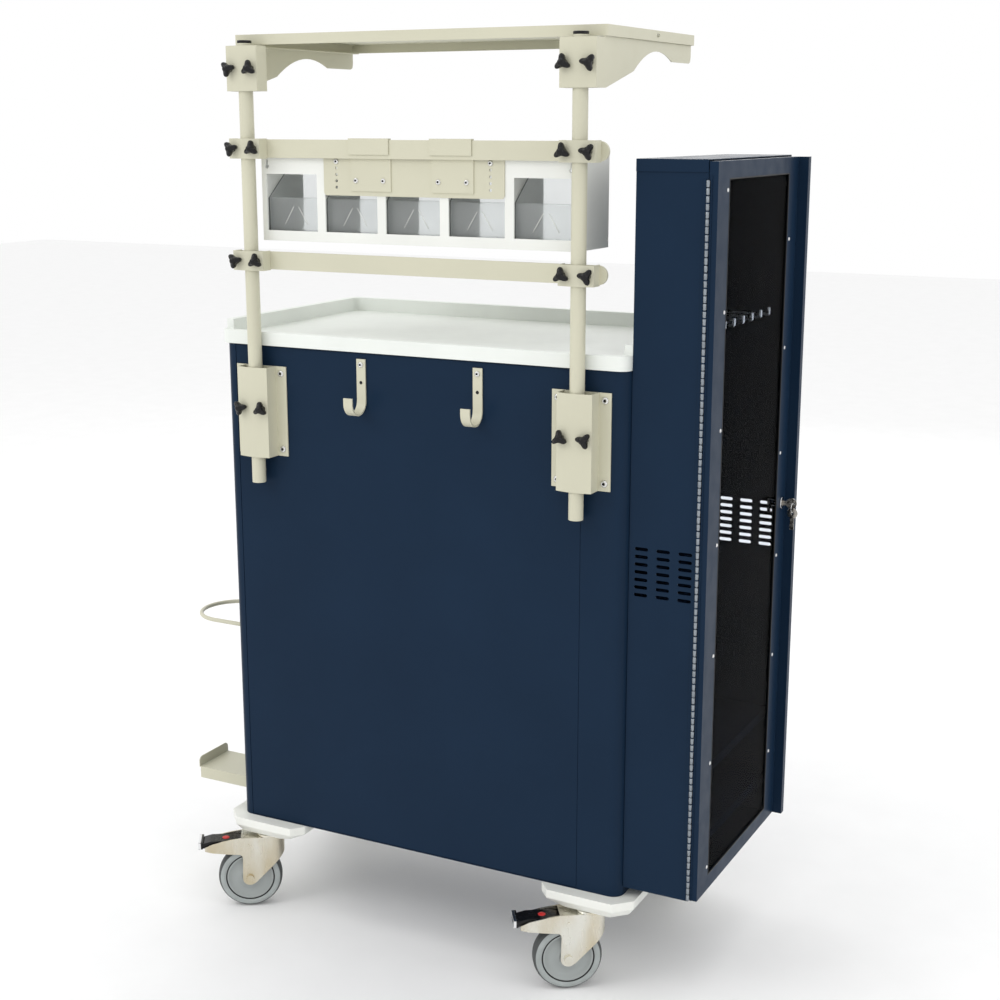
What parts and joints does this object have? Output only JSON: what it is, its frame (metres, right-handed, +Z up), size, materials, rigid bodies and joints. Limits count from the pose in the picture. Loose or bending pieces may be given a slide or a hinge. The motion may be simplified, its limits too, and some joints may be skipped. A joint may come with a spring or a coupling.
{
  "type": "medication cart",
  "caption": "Medication cart with a drawer cabinet on locking casters, a glazed side locker, and a rear pole frame with shelf, rails and tilt-out bins",
  "frame": {"origin": "on the floor, under the middle of the cart's bounding box", "axes": "+Z up, the drawers face -Y, the pole frame is at +Y, the side locker is at -X"},
  "size_m": [1.134, 0.5598, 1.666],
  "materials": {
    "navy_steel": "satin navy powder coat with faint orange peel",
    "putty_steel": "satin putty powder coat",
    "grey_steel": "light grey powder coat",
    "zinc_steel": "zinc plated, slightly yellow",
    "chrome": "polished",
    "white_plastic": "moulded ABS, semi-gloss",
    "black_plastic": "glass-filled nylon, slightly glossy",
    "grey_tyre": "grey thermoplastic rubber tread on a grey hub",
    "clear_plastic": "clear polystyrene",
    "smoked_glazing": "smoked acrylic sheet, gloss"
  },
  "bodies": {
    "root": {"cabinet_shell": "navy_steel", "back_panel": "navy_steel", "corner_bumpers": "white_plastic", "worktop": "white_plastic", "drawer_slides": "zinc_steel", "pole_brackets": "putty_steel", "bracket_knobs": "black_plastic", "tank_ring": "putty_steel", "tank_tray": "putty_steel", "locker_shell": "navy_steel", "locker_cap": "navy_steel", "locker_shelves": "navy_steel", "peg_bar": "zinc_steel", "door_hinge": "navy_steel", "caster_stems": "zinc_steel", "j_hooks": "putty_steel"},
    "pole_frame": {"poles": "putty_steel", "pole_caps": "black_plastic"},
    "shelf": {"top_shelf": "putty_steel", "shelf_brackets": "putty_steel", "shelf_knobs": "black_plastic"},
    "upper_rail_unit": {"upper_rail": "putty_steel", "upper_clamps": "putty_steel", "upper_knobs": "black_plastic", "bin_rack": "white_plastic", "rack_hanger": "putty_steel"},
    "lower_rail_unit": {"lower_rail": "putty_steel", "lower_clamps": "putty_steel", "lower_knobs": "black_plastic"},
    "locker_door": {"door_panel": "navy_steel", "door_window": "smoked_glazing", "lock_barrel": "chrome"},
    "door_lock": {"lock_key": "chrome"},
    "caster_rear_left": {"fork_rear_left": "zinc_steel"},
    "roller_rear_left": {"wheel_rear_left": "grey_tyre"},
    "brake_rear_left": {"pedal_rear_left": "black_plastic"},
    "caster_rear_right": {"fork_rear_right": "zinc_steel"},
    "roller_rear_right": {"wheel_rear_right": "grey_tyre"},
    "brake_rear_right": {"pedal_rear_right": "black_plastic"},
    "caster_front_left": {"fork_front_left": "zinc_steel"},
    "roller_front_left": {"wheel_front_left": "grey_tyre"},
    "brake_front_left": {"pedal_front_left": "black_plastic"},
    "caster_front_right": {"fork_front_right": "zinc_steel"},
    "roller_front_right": {"wheel_front_right": "grey_tyre"},
    "brake_front_right": {"pedal_front_right": "black_plastic"},
    "drawer_1": {"drawer_box_1": "grey_steel", "drawer_front_1": "navy_steel"},
    "drawer_2": {"drawer_box_2": "grey_steel", "drawer_front_2": "navy_steel"},
    "drawer_3": {"drawer_box_3": "grey_steel", "drawer_front_3": "navy_steel"},
    "drawer_4": {"drawer_box_4": "grey_steel", "drawer_front_4": "navy_steel"},
    "drawer_5": {"drawer_box_5": "grey_steel", "drawer_front_5": "navy_steel"},
    "tilt_bin_1": {"bin_1": "clear_plastic"},
    "tilt_bin_2": {"bin_2": "clear_plastic"},
    "tilt_bin_3": {"bin_3": "clear_plastic"},
    "tilt_bin_4": {"bin_4": "clear_plastic"},
    "tilt_bin_5": {"bin_5": "clear_plastic"}
  },
  "joints": [
    {"name": "swivel_rear_left", "type": "hinge", "parent": "root", "child": "caster_rear_left", "pos_m": [0.352, 0.18607, 0.148], "axis": [0, 0, 1], "continuous": true},
    {"name": "roll_rear_left", "type": "hinge", "parent": "caster_rear_left", "child": "roller_rear_left", "pos_m": [0.38722, 0.20894, 0.0625], "axis": [-0.5446, 0.8387, 0], "continuous": true},
    {"name": "press_rear_left", "type": "hinge", "parent": "caster_rear_left", "child": "brake_rear_left", "pos_m": [0.38722, 0.20894, 0.1315], "axis": [-0.5446, 0.8387, 0], "range_deg": [0, 10]},
    {"name": "swivel_rear_right", "type": "hinge", "parent": "root", "child": "caster_rear_right", "pos_m": [-0.34, 0.18607, 0.148], "axis": [0, 0, 1], "continuous": true},
    {"name": "roll_rear_right", "type": "hinge", "parent": "caster_rear_right", "child": "roller_rear_right", "pos_m": [-0.30478, 0.20894, 0.0625], "axis": [-0.5446, 0.8387, 0], "continuous": true},
    {"name": "press_rear_right", "type": "hinge", "parent": "caster_rear_right", "child": "brake_rear_right", "pos_m": [-0.30478, 0.20894, 0.1315], "axis": [-0.5446, 0.8387, 0], "range_deg": [0, 10]},
    {"name": "swivel_front_left", "type": "hinge", "parent": "root", "child": "caster_front_left", "pos_m": [0.352, -0.24393, 0.148], "axis": [0, 0, 1], "continuous": true},
    {"name": "roll_front_left", "type": "hinge", "parent": "caster_front_left", "child": "roller_front_left", "pos_m": [0.38722, -0.22106, 0.0625], "axis": [-0.5446, 0.8387, 0], "continuous": true},
    {"name": "press_front_left", "type": "hinge", "parent": "caster_front_left", "child": "brake_front_left", "pos_m": [0.38722, -0.22106, 0.1315], "axis": [-0.5446, 0.8387, 0], "range_deg": [0, 10]},
    {"name": "swivel_front_right", "type": "hinge", "parent": "root", "child": "caster_front_right", "pos_m": [-0.34, -0.24393, 0.148], "axis": [0, 0, 1], "continuous": true},
    {"name": "roll_front_right", "type": "hinge", "parent": "caster_front_right", "child": "roller_front_right", "pos_m": [-0.30478, -0.22106, 0.0625], "axis": [-0.5446, 0.8387, 0], "continuous": true},
    {"name": "press_front_right", "type": "hinge", "parent": "caster_front_right", "child": "brake_front_right", "pos_m": [-0.30478, -0.22106, 0.1315], "axis": [-0.5446, 0.8387, 0], "range_deg": [0, 10]},
    {"name": "slide_1", "type": "slide", "parent": "root", "child": "drawer_1", "axis": [0, -1, 0], "range_m": [0, 0.33]},
    {"name": "slide_2", "type": "slide", "parent": "root", "child": "drawer_2", "axis": [0, -1, 0], "range_m": [0, 0.33]},
    {"name": "slide_3", "type": "slide", "parent": "root", "child": "drawer_3", "axis": [0, -1, 0], "range_m": [0, 0.33]},
    {"name": "slide_4", "type": "slide", "parent": "root", "child": "drawer_4", "axis": [0, -1, 0], "range_m": [0, 0.33]},
    {"name": "slide_5", "type": "slide", "parent": "root", "child": "drawer_5", "axis": [0, -1, 0], "range_m": [0, 0.33]},
    {"name": "tilt_1", "type": "hinge", "parent": "upper_rail_unit", "child": "tilt_bin_1", "pos_m": [-0.2408, 0.07307, 1.324], "axis": [1, 0, 0], "range_deg": [0, 45]},
    {"name": "tilt_2", "type": "hinge", "parent": "upper_rail_unit", "child": "tilt_bin_2", "pos_m": [-0.1174, 0.07307, 1.324], "axis": [1, 0, 0], "range_deg": [0, 45]},
    {"name": "tilt_3", "type": "hinge", "parent": "upper_rail_unit", "child": "tilt_bin_3", "pos_m": [0.006, 0.07307, 1.324], "axis": [1, 0, 0], "range_deg": [0, 45]},
    {"name": "tilt_4", "type": "hinge", "parent": "upper_rail_unit", "child": "tilt_bin_4", "pos_m": [0.1294, 0.07307, 1.324], "axis": [1, 0, 0], "range_deg": [0, 45]},
    {"name": "tilt_5", "type": "hinge", "parent": "upper_rail_unit", "child": "tilt_bin_5", "pos_m": [0.2528, 0.07307, 1.324], "axis": [1, 0, 0], "range_deg": [0, 45]},
    {"name": "pole_height", "type": "slide", "parent": "root", "child": "pole_frame", "axis": [0, 0, 1], "range_m": [0, 0.12]},
    {"name": "shelf_height", "type": "slide", "parent": "pole_frame", "child": "shelf", "axis": [0, 0, 1], "range_m": [-0.04, 0]},
    {"name": "upper_rail_height", "type": "slide", "parent": "pole_frame", "child": "upper_rail_unit", "axis": [0, 0, 1], "range_m": [-0.04, 0.03]},
    {"name": "lower_rail_height", "type": "slide", "parent": "pole_frame", "child": "lower_rail_unit", "axis": [0, 0, 1], "range_m": [-0.08, 0.05]},
    {"name": "door_swing", "type": "hinge", "parent": "root", "child": "locker_door", "pos_m": [-0.5215, 0.18407, 0.831], "axis": [0, 0, -1], "range_deg": [0, 160]},
    {"name": "key_turn", "type": "hinge", "parent": "locker_door", "child": "door_lock", "pos_m": [-0.537, -0.21393, 0.831], "axis": [-1, 0, 0], "range_deg": [0, 90]}
  ]
}
